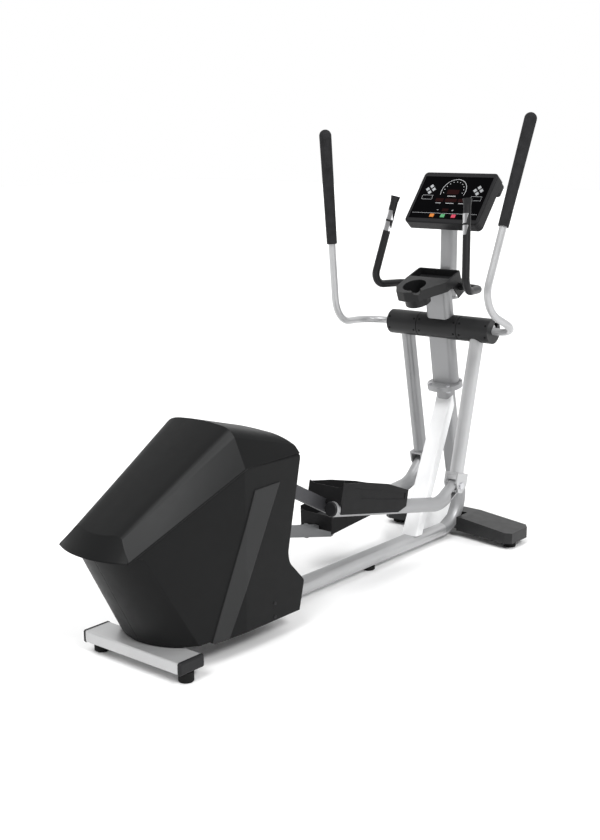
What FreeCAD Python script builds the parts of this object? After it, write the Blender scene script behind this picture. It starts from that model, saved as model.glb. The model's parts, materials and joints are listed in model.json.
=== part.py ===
"""Elliptical trainer with a rear drive, two rocking arms and two foot links.

Millimetres. +X is the way the user faces, +Y is the user's left, +Z is up.
While it is modelled, x = 0 is the middle of the rear stabiliser. Each node is then moved so that
the origin is on the floor in the middle of the footprint.
"""
import FreeCAD, Part
import math
import os

V = FreeCAD.Vector

# ---- driving dimensions -----------------------------------------------------------------------
REAR_X = -238.0             # back of the housing lip
FRONT_X = 1968.0            # nose of the front stabiliser
ORIGIN_X = (REAR_X + FRONT_X) / 2

# four-bar linkage, in the side view (x, z)
PIVOT = (1726.0, 922.0)     # axle of both arms
CRANK = (260.0, 440.0)      # crank axle
CRANK_R = 228.0             # half of the stride at the crank
LINK_LENGTH = 1473.4        # crank pin to clevis pin
ARM_R = 634.0               # pivot to clevis pin
CRANK_ANGLE = 120.8         # degrees, crank arm of the right side at rest

ARM_Y = 175.0               # plane of arms, clevises and foot link tubes
BAR_Y = 125.0               # plane of the flat foot link bars
CRANK_ARM_Y = (77.0, 95.0)  # the crank arms' two faces
RUN_GAP = 0.05              # radial running clearance of pins and axles
PART_GAP = 0.5              # gap between pieces that move past each other

# frame
RAIL_Z = 46.0
RAIL_WIDE = 76.0
RAIL_TALL = 54.0
RAIL_ROUND = 22.0
WALL = 3.0
BEND_X = 1733.0
BEND_R = 133.0
UPRIGHT_LEAN = 12.8         # degrees from vertical, towards the user
BRACE_FOOT_X = 1510.0
BRACE_LEAN = 23.4           # degrees from vertical, away from the user
BRACE_DEEP = 45.0
FLANGE = (1757.0, 673.0)
FLANGE_R = 73.0
FLANGE_BOLT_R = 63.0
FLANGE_THICK = 10.0
MAST_LEAN = 10.6
MAST_FORWARD = 10.0          # of the middle of its flange
MAST_DEEP = 54.0
MAST_WIDE = 118.0
MAST_ROUND = 25.0
MAST_TOP_Z = 1092.0
MAST_CAP = 8.0
UPPER_MAST_X = 1764.0
UPPER_MAST_Z = (1040.0, 1330.0)
PULSE_R = 15.5
PLATE_HALF = 12.0           # half the width of a steel contact
PULSE_BENDS = (48.0, 60.0)
STAB_X = 54.5
STAB_Y = 218.0
STAB_Z = (40.0, 81.0)
REAR_FOOT_Y = 199.0
MIDDLE_FOOT_X = 1232.0
FRONT_FOOT = (1844.0, 284.0)
PAD_R = 26.0

# pivot covers
COVER_R = 51.0
COVER_WALL = 3.0
CENTRE_COVER_Y = 96.0
ARM_COVER_Y = (99.0, 246.0)
AXLE_R = 15.0
BUSH_R = 18.0
HUB_R = 28.0
HUB_Y = (101.0, 238.0)
HUB_CAP = 3.0

# arms, in their own frame: x forward and z up from the pivot, clevis pin straight below
ARM_TUBE_DEEP = 61.0
ARM_TUBE_WIDE = 48.0
SADDLE_DROP = 584.0
CLEVIS_EAR_Y = (23.5, 30.5)
CLEVIS_PIN_R = 9.0
HANDLE_R = 14.5
HANDLE_ELBOW = (-262.0, 340.0, 66.0)
HANDLE_TOP = (-163.0, 364.0, 815.0)
HANDLE_CORNER_Y = 376.0
GRIP_LENGTH = 430.0
GRIP_R = (21.0, 24.5)

# foot links, in their own frame: x from the crank pin to the clevis pin
LINK_TUBE_R = 28.5
LINK_TUBE_START = (668.0, -102.0)
LINK_TUBE_ELBOW = (1380.0, -81.0)
LINK_TUBE_BEND_R = 130.0
BAR_KINK = (420.0, -23.0)
BAR_END = (757.0, -114.0)
BAR_TALL = 47.0
BAR_THICK = 20.0
CRANK_PIN_R = 10.0
LUG_R = 18.5
PEDAL_X = (680.0, 1098.0)
PEDAL_Y = (50.0, 206.0)
PEDAL_FLOOR_Z = -68.0
PEDAL_FLOOR_RISE = 9.0
PEDAL_WALL = 4.0

# drive train
CRANK_PULLEY_R = 140.0
JACKSHAFT = (30.0, 420.0)
JACK_SMALL_R = 26.0
JACK_LARGE_R = 80.0
FLYWHEEL = (110.0, 245.0)
FLYWHEEL_R = 115.0
FLYWHEEL_PULLEY_R = 24.0
BELT_THICK = 3.0
IDLER_R = 28.0
IDLER_PIN_R = 6.0
IDLER_SLACK = 0.8           # gap between the idler and the back of the belt
BELT_1_Y = (22.0, 40.0)
BELT_2_Y = (-8.0, 8.0)
FLYWHEEL_Y = (-58.0, -24.0)
PLATE_Y = (62.0, 67.0)
SHAFT_R = 10.0
BEARING_R = 26.0
OUTRIGGER_X = (170.0, 430.0)
OUTRIGGER_TOP = 97.0

# console, in its own frame: x to the user's left, y up the face, z out of the face
CONSOLE_FOOT = (1691.0, 1345.0)
CONSOLE_TILT = 38.4         # degrees that the face leans back
CONSOLE_SIZE = (354.0, 250.0, 47.0)
PANEL_SIZE = (326.0, 208.0)
PANEL_LOW = 20.0            # the panel's lower edge, up the face
HUMP = (172.0, 60.0, 38.0)  # half width, height and depth of the swelling behind the console's top
PANEL_THICK = 3.0
KEY_SIZE = (19.0, 15.0)
KEY_PITCH = 52.0
KEY_MIDDLE_X = -2.0
KEY_ROW_Y = 36.0
KEY_RISE = 2.0


# housing outline, mm
HOUSE_SIDE = [(-60, 84), (130, 84), (150, 72), (564, 72), (590, 181), (512, 262), (505, 300),
              (571, 625), (560, 664), (536, 688), (455, 760), (455, 900), (-250, 900), (-250, 420),
              (-225, 400)]
# a corner of the side outline, and the radius that it is rounded to
HOUSE_ROUNDS = [((590, 181), 18.0), ((512, 262), 55.0), ((505, 300), 55.0), ((571, 625), 25.0),
                ((560, 664), 25.0)]
LIP_LEAN = 0.75             # how far the lip's face goes forward for its height
# stations of the housing along x: wall |y|, top of the wall, |y| and z of the lid's edge, crown above it
HOUSE_REAR = (-240.0, 154.0, 416.0, 101.0, 457.0, 9.0)
HOUSE_RIDGE = (286.0, 205.0, 640.0, 159.0, 738.0, 38.0)
HOUSE_FRONT = (600.0, 205.0, 630.0, 188.0, 656.0, 34.0)
LIP_Z = 430.0               # underside of the lid's lip
LIP_SWELL = 40.0            # how far the lip's middle stands behind its ends
REAR_SWELL_R = 223.0        # plan radius of the housing's rear face
REAR_AT = ((0.0, 31.0), (500.0, -242.3))  # height and x of two points on the rear face's middle line
HOUSE_WALL = 4.0
LID_LAP = 3.0               # how far the lid stands proud of the covers below it
STRIPE = [(131, 76), (207, 76), (458, 561), (333, 558)]
STRIPE_RISE = 3.0
LINK_SLOT_Y = (102.0, 148.0)

# tray, mm and degrees
TRAY_FRONT = (1700.0, 1160.0)
TRAY_TILT = 22.0
CUP = (-150.0, 27.0)         # from the tray's front edge, in the tray's own frame
CUP_R = 48.0
CUP_DEEP = 74.0
CUP_DIP = (20.0, 220.0)      # radius of the dip in the rim, and the way it faces in degrees


# ---- helpers ----------------------------------------------------------------------------------
def polar(centre, radius, degrees):
    """Point in the side view at a distance and an angle from +X towards +Z."""
    turn = math.radians(degrees)
    return (centre[0] + radius * math.cos(turn), centre[1] + radius * math.sin(turn))


def box(x, y, z):
    """Box between two x, two y and two z values."""
    return Part.makeBox(x[1] - x[0], y[1] - y[0], z[1] - z[0], V(x[0], y[0], z[0]))


def rod_y(centre, radius, y):
    """Cylinder along Y about a point of the side view."""
    return Part.makeCylinder(radius, y[1] - y[0], V(centre[0], y[0], centre[1]), V(0, 1, 0))


def rod_z(x, y, radius, z):
    """Upright cylinder."""
    return Part.makeCylinder(radius, z[1] - z[0], V(x, y, z[0]))


def ring_y(centre, outer, inner, y):
    """Ring about an axis along Y."""
    return rod_y(centre, outer, y).cut(rod_y(centre, inner, y))


def plate_y(points, y):
    """Polygon of the side view, given thickness along Y."""
    corners = [V(x, y[0], z) for x, z in points]
    face = Part.Face(Part.makePolygon(corners + corners[:1]))
    return face.extrude(V(0, y[1] - y[0], 0))


def plate_z(points, z):
    """Polygon of the plan view, given thickness along Z."""
    corners = [V(x, y, z[0]) for x, y in points]
    face = Part.Face(Part.makePolygon(corners + corners[:1]))
    return face.extrude(V(0, 0, z[1] - z[0]))


def rounded_bar(deep, wide, corner, length):
    """Bar with rounded long edges, section centred on the Z axis, from z = 0 up."""
    bar = Part.makeBox(deep, wide, length, V(-deep / 2, -wide / 2, 0))
    edges = [e for e in bar.Edges if abs(e.tangentAt(e.FirstParameter).z) > 0.9]
    return bar.makeFillet(corner, edges)


def rounded_tube(deep, wide, corner, length, wall=WALL):
    """Hollow form of rounded_bar."""
    inner = rounded_bar(deep - 2 * wall, wide - 2 * wall, corner - wall, length)
    return rounded_bar(deep, wide, corner, length).cut(inner)


def smooth_path(points, radii):
    """Wire through points, each inner corner replaced by an arc of its radius."""
    edges = []
    start = points[0]
    for before, corner, after, radius in zip(points, points[1:], points[2:], radii):
        back = (before - corner).normalize()
        ahead = (after - corner).normalize()
        half = back.getAngle(ahead) / 2
        reach = radius / math.tan(half)
        middle = corner + (back + ahead).normalize() * (radius / math.sin(half) - radius)
        arc_start = corner + back * reach
        arc_end = corner + ahead * reach
        edges.append(Part.LineSegment(start, arc_start).toShape())
        edges.append(Part.Arc(arc_start, middle, arc_end).toShape())
        start = arc_end
    edges.append(Part.LineSegment(start, points[-1]).toShape())
    return Part.Wire(edges)


def sweep_round(path, radius):
    """Round bar along a path."""
    start = path.Edges[0]
    direction = start.tangentAt(start.FirstParameter)
    circle = Part.Wire([Part.makeCircle(radius, start.valueAt(start.FirstParameter), direction)])
    return path.makePipeShell([circle], True, False)


def round_tube(points, radii, radius, wall):
    """Bent round tube."""
    path = smooth_path(points, radii)
    return sweep_round(path, radius).cut(sweep_round(path, radius - wall))


def mirrored(shape):
    """The same piece on the other side of the machine."""
    return shape.mirror(V(0, 0, 0), V(0, 1, 0))


def both_sides(shape):
    """A piece and its mirror image."""
    return Part.makeCompound([shape, mirrored(shape)])


def turned(shape, centre, degrees):
    """Turn in the side view, from +X towards +Z."""
    copy = shape.copy()
    copy.rotate(V(centre[0], 0, centre[1]), V(0, -1, 0), degrees)
    return copy


def save(name, shape):
    """Move a node into the part's frame and write it."""
    copy = shape.copy()
    copy.translate(V(-ORIGIN_X, 0, 0))
    solids = copy.Solids
    out = solids[0] if len(solids) == 1 else Part.makeCompound(solids)
    out.exportStep("parts/" + name + ".step")


# ---- linkage ----------------------------------------------------------------------------------
def clevis_for(pin):
    """Clevis pin that closes the four-bar for a crank pin."""
    dx, dz = PIVOT[0] - pin[0], PIVOT[1] - pin[1]
    span = math.hypot(dx, dz)
    along = (LINK_LENGTH ** 2 - ARM_R ** 2 + span ** 2) / (2 * span)
    across = math.sqrt(LINK_LENGTH ** 2 - along ** 2)
    return (pin[0] + (dx * along + dz * across) / span, pin[1] + (dz * along - dx * across) / span)


def side_pose(crank_angle):
    """Crank pin, clevis pin, arm turn and link turn of one side."""
    pin = polar(CRANK, CRANK_R, crank_angle)
    clevis = clevis_for(pin)
    arm = math.degrees(math.atan2(clevis[1] - PIVOT[1], clevis[0] - PIVOT[0])) + 90
    link = math.degrees(math.atan2(clevis[1] - pin[1], clevis[0] - pin[0]))
    return pin, clevis, arm, link


# ---- frame ------------------------------------------------------------------------------------
def main_rail():
    length = BEND_X - STAB_X
    rail = rounded_tube(RAIL_TALL, RAIL_WIDE, RAIL_ROUND, length)
    rail.rotate(V(0, 0, 0), V(0, 1, 0), 90)
    rail.translate(V(STAB_X, 0, RAIL_Z))
    return rail


def upright_axis():
    """Foot of the upright's straight run, its direction, and its length to the flange."""
    lean = math.radians(UPRIGHT_LEAN)
    foot = (BEND_X + BEND_R * math.cos(lean), RAIL_Z + BEND_R * (1 + math.sin(lean)))
    direction = (-math.sin(lean), math.cos(lean))
    length = (FLANGE[1] - FLANGE_THICK - foot[1]) / direction[1]
    return foot, direction, length


def upright_solid(inset):
    """Bend and straight run of the upright, drawn in by an inset."""
    foot, direction, length = upright_axis()
    half_turn = math.radians((90 + UPRIGHT_LEAN) / 2)
    middle = V(BEND_X + BEND_R * math.sin(half_turn), 0, RAIL_Z + BEND_R - BEND_R * math.cos(half_turn))
    start = V(BEND_X, 0, RAIL_Z)
    bend_end = V(foot[0], 0, foot[1])
    top = bend_end + V(direction[0], 0, direction[1]) * length
    path = Part.Wire([Part.Arc(start, middle, bend_end).toShape(), Part.LineSegment(bend_end, top).toShape()])
    section = rounded_bar(RAIL_TALL - 2 * inset, RAIL_WIDE - 2 * inset, RAIL_ROUND - inset, 1)
    wire = min(section.Faces, key=lambda face: face.CenterOfMass.z).OuterWire
    wire.rotate(V(0, 0, 0), V(0, 1, 0), 90)
    wire.translate(start)
    return path.makePipeShell([wire], True, False)


def front_upright():
    return upright_solid(0).cut(upright_solid(WALL)).fuse(flange(-FLANGE_THICK))


def flange(offset):
    """One round flange, its lower face at an offset along the mast from the joint."""
    lean = math.radians(MAST_LEAN)
    axis = V(-math.sin(lean), 0, math.cos(lean))
    disc = Part.makeCylinder(FLANGE_R, FLANGE_THICK, V(FLANGE[0], 0, FLANGE[1]) + axis * offset, axis)
    for bolt in flange_bolt_places():
        disc = disc.cut(Part.makeCylinder(6.0, 8 * FLANGE_THICK, bolt - axis * 40, axis))
    return disc


def flange_bolt_places():
    lean = math.radians(MAST_LEAN)
    along, across = V(math.cos(lean), 0, math.sin(lean)), V(0, 1, 0)
    centre = V(FLANGE[0], 0, FLANGE[1])
    return [centre + along * (FLANGE_BOLT_R * math.cos(a)) + across * (FLANGE_BOLT_R * math.sin(a))
            for a in [math.radians(90 * i + 45) for i in range(4)]]


def mast_bolts():
    lean = math.radians(MAST_LEAN)
    axis = V(-math.sin(lean), 0, math.cos(lean))
    bolts = []
    for place in flange_bolt_places():
        shank = Part.makeCylinder(5.8, 2 * FLANGE_THICK, place - axis * FLANGE_THICK, axis)
        head = Part.makeCylinder(8.5, 6, place + axis * FLANGE_THICK, axis)
        nut = Part.makeCylinder(8.5, 7, place - axis * (FLANGE_THICK + 7), axis)
        bolts.append(shank.fuse([head, nut]))
    return Part.makeCompound(bolts)


def lower_mast():
    lean = math.radians(MAST_LEAN)
    tube = rounded_tube(MAST_DEEP, MAST_WIDE, MAST_ROUND, 500.0)
    tube.rotate(V(0, 0, 0), V(0, -1, 0), MAST_LEAN)
    tube.translate(V(FLANGE[0] + MAST_FORWARD - FLANGE_THICK * math.sin(lean), 0,
                     FLANGE[1] + FLANGE_THICK * math.cos(lean)))
    tube = tube.cut(box((1500, 1900), (-100, 100), (MAST_TOP_Z, 1300)))
    tube = tube.cut(rod_y(PIVOT, AXLE_R, (-100, 100)))
    cover_space = ring_y(PIVOT, COVER_R + PART_GAP, COVER_R - COVER_WALL - PART_GAP, (-100, 100))
    tube = tube.cut(cover_space.common(box((1600, PIVOT[0] - 20), (-100, 100), (800, 1100))))
    tube = max(tube.Solids, key=lambda solid: solid.Volume)
    cap = box((1645, 1730), (-34, 34), (MAST_TOP_Z, MAST_TOP_Z + MAST_CAP))
    shelf = box((1700, UPPER_MAST_X + 32), (-34, 34), (UPPER_MAST_Z[0] - MAST_CAP, UPPER_MAST_Z[0]))
    return tube.fuse([flange(0), cap, shelf.cut(mast_envelope(-WALL))])


def upper_mast():
    """Upper mast, flush on the front of the lower one, up to the console's back."""
    low, high = UPPER_MAST_Z
    tube = rounded_tube(60.0, 58.0, 18.0, high + 60 - low)
    tube.translate(V(UPPER_MAST_X, 0, low))
    console_back = console_place(box((-200, 200), (-60, 400), (-CONSOLE_SIZE[2], 200)))
    behind = mast_envelope(0).common(box((1600, 1900), (-50, 50), (1000, MAST_TOP_Z)))
    return tube.cut(console_back).cut(behind)


def frame_brace():
    bar = rounded_tube(BRACE_DEEP, RAIL_WIDE, 9.0, 700.0)
    bar.translate(V(BRACE_DEEP / 2, 0, -50))
    bar.rotate(V(0, 0, 0), V(0, 1, 0), BRACE_LEAN)
    bar.translate(V(BRACE_FOOT_X, 0, RAIL_Z + RAIL_TALL / 2))
    below = box((1300, 1700), (-60, 60), (-100, RAIL_Z + RAIL_TALL / 2))
    bar = bar.cut(below)
    bar = bar.cut(upright_envelope())
    pieces = sorted(bar.Solids, key=lambda s: s.Volume)
    web = plate_y([(1560, 73), (1735, 73), (1790, 100), (1830, 175), (1700, 190), (1612, 175)], (-4, 4))
    web = web.cut(upright_envelope())
    web = web.cut(pieces[-1])
    web = sorted(web.Solids, key=lambda s: s.Volume)[-1]
    return Part.makeCompound([pieces[-1], web])


def upright_envelope():
    """Space of the upright's straight run, bend and flange, without its bore."""
    foot, direction, length = upright_axis()
    bar = rounded_bar(RAIL_TALL, RAIL_WIDE, RAIL_ROUND, length + 60)
    bar.rotate(V(0, 0, 0), V(0, -1, 0), UPRIGHT_LEAN)
    bar.translate(V(foot[0], 0, foot[1]))
    ahead = box((BEND_X + 160, BEND_X + 400), (-60, 60), (0, 800))
    centre = (BEND_X, RAIL_Z + BEND_R)
    bend = ring_y(centre, BEND_R + 200, BEND_R - RAIL_TALL / 2, (-60, 60))
    bend = bend.cut(box((1200, BEND_X), (-60, 60), (-200, 600)))
    bend = bend.cut(box((1200, 2200), (-60, 60), (centre[1], 900)))
    return bar.fuse([ahead, bend])


def rear_stabiliser():
    tube = box((-STAB_X, STAB_X), (-STAB_Y, STAB_Y), STAB_Z)
    edges = [e for e in tube.Edges if abs(e.tangentAt(e.FirstParameter).y) > 0.9]
    tube = tube.makeFillet(6.0, edges)
    hollow = box((-STAB_X + WALL, STAB_X - WALL), (-STAB_Y, STAB_Y), (STAB_Z[0] + WALL, STAB_Z[1] - WALL))
    tube = tube.cut(hollow)
    for side in (-1, 1):
        tube = tube.cut(rod_z(0, side * REAR_FOOT_Y, 6.0, (STAB_Z[0] - 1, STAB_Z[0] + 5)))
    return tube


def stabiliser_end_caps():
    cap = box((-STAB_X - 2, STAB_X + 2), (-STAB_Y - 11, -STAB_Y), (STAB_Z[0] - 2, STAB_Z[1] + 2))
    edges = [e for e in cap.Edges if e.CenterOfMass.y < -STAB_Y - 1]
    return both_sides(cap.makeFillet(8.0, edges))


def foot(x, y, top):
    """Levelling foot up to the tube above it, with a chamfered tread and a collar."""
    tread = Part.makeCone(PAD_R - 3, PAD_R, 3, V(x, y, 0))
    pad = rod_z(x, y, PAD_R, (3, top - 5))
    return tread.fuse([pad, rod_z(x, y, PAD_R - 8, (top - 5, top))])


def levelling_feet():
    feet = [foot(MIDDLE_FOOT_X, 0, RAIL_Z - RAIL_TALL / 2)]
    for side in (-1, 1):
        feet.append(foot(0, side * REAR_FOOT_Y, STAB_Z[0]))
        feet.append(foot(FRONT_FOOT[0], side * FRONT_FOOT[1], 34))
    return Part.makeCompound(feet)


def front_cross_tube():
    tube = box((FRONT_FOOT[0] - 25, FRONT_FOOT[0] + 25), (-310, 310), (34, 64))
    hollow = box((FRONT_FOOT[0] - 22, FRONT_FOOT[0] + 22), (-310, 310), (37, 61))
    return tube.cut(hollow).cut(upright_solid(0))


def cover_block(inset, low, middle_top, tip_top):
    """Front cover's outside, drawn in by an inset, its top falling from the middle to the tips."""
    half = [(1810 + inset, 0), (1810 + inset, 60), (1780 + inset, 296), (1796 + inset, 322 - inset),
            (1918 - inset, 322 - inset), (1946 - inset, 300), (FRONT_X - inset, 60), (FRONT_X - inset, 0)]
    outline = [(x, -y) for x, y in half] + [(x, y) for x, y in reversed(half[1:-1])]
    profile = [(-330, low), (330, low), (330, tip_top), (60, middle_top), (-60, middle_top), (-330, tip_top)]
    points = [V(1700, y, z) for y, z in profile]
    bar = Part.Face(Part.makePolygon(points + points[:1])).extrude(V(400, 0, 0))
    return plate_z(outline, (low, middle_top)).common(bar)


def front_stabiliser_cover():
    """Moulded cover over the cross tube, open below, notched for the upright's bend."""
    shell = cover_block(0, 27, 88, 72).cut(cover_block(4, 0, 84, 68))
    half_slot = RAIL_WIDE / 2 + PART_GAP
    return shell.cut(box((1700, 1896), (-half_slot, half_slot), (0, 100)))


# ---- drive housing ----------------------------------------------------------------------------
def house_section(station, inset):
    """Closed section of the housing at a station, from the floor over the crowned lid."""
    x, wall_y, wall_z, edge_y, edge_z, crown = station
    wall_y, edge_y = wall_y - inset, edge_y - inset / 2
    wall_z, edge_z = wall_z - inset / 2, edge_z - inset
    left = [V(x, -wall_y, 0), V(x, -wall_y, wall_z), V(x, -edge_y, edge_z)]
    right = [V(x, -p.y, p.z) for p in reversed(left)]
    edges = [Part.LineSegment(p, q).toShape() for p, q in zip(left, left[1:])]
    crown_line = Part.BSplineCurve()
    crown_line.interpolate([V(x, edge_y * across, edge_z + crown * up) for across, up in
                            ((-1, 0), (-0.84, 0.6), (-0.5, 0.9), (0, 1), (0.5, 0.9), (0.84, 0.6), (1, 0))])
    edges.append(crown_line.toShape())
    edges += [Part.LineSegment(p, q).toShape() for p, q in zip(right, right[1:])]
    edges.append(Part.LineSegment(right[-1], left[0]).toShape())
    return Part.Wire(edges)


def swollen_plan(middle_x, radius, reach, z):
    """Wire in plan with a round rear end, straight sides and a flat front."""
    end_x = middle_x + radius - math.sqrt(radius ** 2 - reach ** 2)
    arc = Part.Arc(V(end_x, -reach, z), V(middle_x, 0, z), V(end_x, reach, z)).toShape()
    corners = [V(end_x, reach, z), V(end_x, 230, z), V(700, 230, z), V(700, -230, z), V(end_x, -230, z),
               V(end_x, -reach, z)]
    return Part.Wire([arc] + [Part.LineSegment(p, q).toShape() for p, q in zip(corners, corners[1:])])


def housing_block(inset):
    """Solid of the housing's outside, drawn in by an inset."""
    rear = Part.makeLoft([house_section(HOUSE_REAR, inset), house_section(HOUSE_RIDGE, inset)], True, True)
    front = Part.makeLoft([house_section(HOUSE_RIDGE, inset), house_section(HOUSE_FRONT, inset)], True, True)
    wire = Part.makePolygon([V(x, -300, z) for x, z in HOUSE_SIDE + HOUSE_SIDE[:1]])
    if inset:
        wire = wire.makeOffset2D(-inset, 2)
    prism = Part.Face(wire).extrude(V(0, 600, 0))
    for (x, z), radius in HOUSE_ROUNDS:
        near = [e for e in prism.Edges if abs(e.tangentAt(e.FirstParameter).y) > 0.9
                and math.hypot(e.CenterOfMass.x - x, e.CenterOfMass.z - z) < 2.2 * inset + 2]
        prism = prism.makeFillet(radius, near[:1])
    block = rear.fuse(front).common(prism)
    lip_half = HOUSE_REAR[1]
    lip_radius = (lip_half ** 2 + LIP_SWELL ** 2) / (2 * LIP_SWELL)
    rise = 470.0
    lip = Part.makeLoft([swollen_plan(REAR_X + inset, lip_radius, lip_half, LIP_Z),
                         swollen_plan(REAR_X + inset + LIP_LEAN * rise, lip_radius, lip_half, LIP_Z + rise)],
                        True, True)
    body = Part.makeLoft([swollen_plan(x + inset, REAR_SWELL_R, 190, z) for z, x in REAR_AT], True, True)
    above = block.common(lip).cut(box((-400, 800), (-300, 300), (0, LIP_Z + inset)))
    below = block.common(body).common(box((-400, 800), (-300, 300), (0, LIP_Z + inset)))
    return above.fuse(below)


def housing_shell(inset):
    """Hollow housing, open below, with a slot in front for each foot link."""
    shell = housing_block(inset).cut(housing_block(inset + HOUSE_WALL))
    shell = shell.cut(box((80, 560), (-150, 150), (0, 120)))
    for side in (-1, 1):
        slot = sorted([side * LINK_SLOT_Y[0], side * LINK_SLOT_Y[1]])
        shell = shell.cut(box((450, 640), slot, (125, 636)))
    return shell


def housing_nodes():
    """Lid above the seam, left and right covers with a raised stripe below it."""
    above_seam = [(-400, LIP_Z), (-188, LIP_Z), (300, 638), (700, 638), (700, 1000), (-400, 1000)]
    seam = plate_y(above_seam, (-300, 300))
    lid = housing_shell(0).common(seam)
    stripe = plate_y(STRIPE, (-300, 300)).common(housing_block(LID_LAP - STRIPE_RISE))
    raised = stripe.cut(housing_block(LID_LAP)).cut(box((-400, 800), (-150, 150), (0, 900)))
    lower = housing_shell(LID_LAP).fuse(raised).cut(seam)
    right = lower.common(box((-400, 800), (-300, -0.2), (0, 900)))
    left = mirrored(right)
    return lid, right, left


def housing_screws():
    """Screws through the covers into the outriggers, with a recess in each head."""
    face = HOUSE_RIDGE[1] - LID_LAP
    spots = [(OUTRIGGER_X[1], z) for z in (OUTRIGGER_TOP - 9, OUTRIGGER_TOP + 40)]
    screws = []
    for spot in spots:
        recess = rod_y(spot, 2.5, (-face - 2, -face - 1))
        screws.append(rod_y(spot, 6.0, (-face - 2, -face)).cut(recess))
    return both_sides(Part.makeCompound(screws))


# ---- drive train ------------------------------------------------------------------------------
def drive_frame():
    outline = [(110, 79), (330, 79), (312, 470), (208, 480), (0, 450), (-8, 400), (70, 225)]
    plates = []
    for side in (-1, 1):
        plate = plate_y(outline, sorted([side * PLATE_Y[0], side * PLATE_Y[1]]))
        plates.append(plate)
    base = box((110, 330), (-PLATE_Y[1], PLATE_Y[1]), (RAIL_Z + RAIL_TALL / 2, 79))
    frame = plates[0].fuse([plates[1], base] + outriggers())
    reach = (-PLATE_Y[1] - 1, PLATE_Y[1] + 1)
    frame = frame.cut(rod_y(CRANK, BEARING_R, reach))
    for centre in (JACKSHAFT, FLYWHEEL):
        frame = frame.cut(rod_y(centre, SHAFT_R + RUN_GAP, reach))
    return frame


def outriggers():
    """Cross bars on the rail that the covers are screwed to."""
    inside = housing_block(LID_LAP + HOUSE_WALL + 0.2)
    low = RAIL_Z + RAIL_TALL / 2
    bars = []
    for x in OUTRIGGER_X:
        bars.append(box((x - 15, x + 15), (-300, 300), (OUTRIGGER_TOP - 16, OUTRIGGER_TOP)).common(inside))
        bars.append(box((x - 15, x + 15), (-30, 30), (low, OUTRIGGER_TOP)))
    return bars


def crank_bearings():
    return both_sides(ring_y(CRANK, BEARING_R, AXLE_R + RUN_GAP, (-72, -56)))


def crank_axle():
    return rod_y(CRANK, AXLE_R, (-CRANK_ARM_Y[1], CRANK_ARM_Y[1]))


def crank_arms():
    arms = []
    for side, angle in ((-1, CRANK_ANGLE), (1, CRANK_ANGLE + 180)):
        pin = polar(CRANK, CRANK_R, angle)
        faces = sorted([side * CRANK_ARM_Y[0], side * CRANK_ARM_Y[1]])
        arm = box((CRANK[0], CRANK[0] + CRANK_R), faces, (CRANK[1] - 24, CRANK[1] + 24))
        arm = turned(arm, CRANK, angle).fuse([rod_y(CRANK, 34, faces), rod_y(pin, 24, faces)])
        arm = arm.cut(rod_y(CRANK, AXLE_R, faces))
        stub = sorted([side * CRANK_ARM_Y[1], side * (BAR_Y - BAR_THICK / 2 - 2)])
        arms.append(arm.fuse(rod_y(pin, CRANK_PIN_R, stub)))
    return Part.makeCompound(arms)


def grooved_wheel(centre, radius, y, bore):
    """Pulley with a rim flange on each side of the belt."""
    wheel = rod_y(centre, radius, y)
    for end in (y[0] - 2, y[1]):
        wheel = wheel.fuse(rod_y(centre, radius + 4, (end, end + 2)))
    return wheel.cut(rod_y(centre, bore, (y[0] - 3, y[1] + 3)))


def crank_pulley():
    wheel = grooved_wheel(CRANK, CRANK_PULLEY_R, BELT_1_Y, AXLE_R)
    for i in range(5):
        hole = polar(CRANK, 82, 72 * i)
        wheel = wheel.cut(rod_y(hole, 28, (0, 60)))
    return wheel


def jackshaft():
    shaft = rod_y(JACKSHAFT, SHAFT_R, (-74, 74))
    small = grooved_wheel(JACKSHAFT, JACK_SMALL_R, BELT_1_Y, SHAFT_R)
    large = grooved_wheel(JACKSHAFT, JACK_LARGE_R, BELT_2_Y, SHAFT_R)
    return shaft.fuse([small, large])


def flywheel():
    shaft = rod_y(FLYWHEEL, SHAFT_R, (-74, 74))
    rim = ring_y(FLYWHEEL, FLYWHEEL_R, FLYWHEEL_R - 28, FLYWHEEL_Y)
    web = ring_y(FLYWHEEL, FLYWHEEL_R - 28, SHAFT_R, (-46, -36))
    hub = ring_y(FLYWHEEL, 24, SHAFT_R, (-52, -12))
    pulley = grooved_wheel(FLYWHEEL, FLYWHEEL_PULLEY_R, BELT_2_Y, SHAFT_R)
    return shaft.fuse([rim, web, hub, pulley])


def magnet_brake():
    """Curved magnet carrier beside the flywheel rim, on a tie to the drive frame."""
    gap = 2.5
    arc = ring_y(FLYWHEEL, FLYWHEEL_R + gap + 14, FLYWHEEL_R + gap, (-56, -26))
    sector = plate_y([FLYWHEEL, polar(FLYWHEEL, 260, -40), polar(FLYWHEEL, 260, 20)], (-56, -26))
    arc = arc.common(sector)
    tie = box((FLYWHEEL[0] + 122, FLYWHEEL[0] + 136), (-PLATE_Y[0], -40), (215, 245))
    return arc.fuse(tie)


def belt(first, first_r, second, second_r, y):
    """Flat belt round two pulleys, with a hair of clearance."""
    gap = 0.3
    grown = []
    for extra in (gap, gap + BELT_THICK):
        grown.append(belt_block(first, first_r + extra, second, second_r + extra, y))
    return grown[1].cut(grown[0])


def belt_block(first, first_r, second, second_r, y):
    dx, dz = second[0] - first[0], second[1] - first[1]
    span = math.hypot(dx, dz)
    heading = math.degrees(math.atan2(dz, dx))
    side = math.degrees(math.acos((first_r - second_r) / span))
    quad = [polar(first, first_r, heading + side), polar(second, second_r, heading + side),
            polar(second, second_r, heading - side), polar(first, first_r, heading - side)]
    return plate_y(quad, y).fuse([rod_y(first, first_r, y), rod_y(second, second_r, y)])


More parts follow.
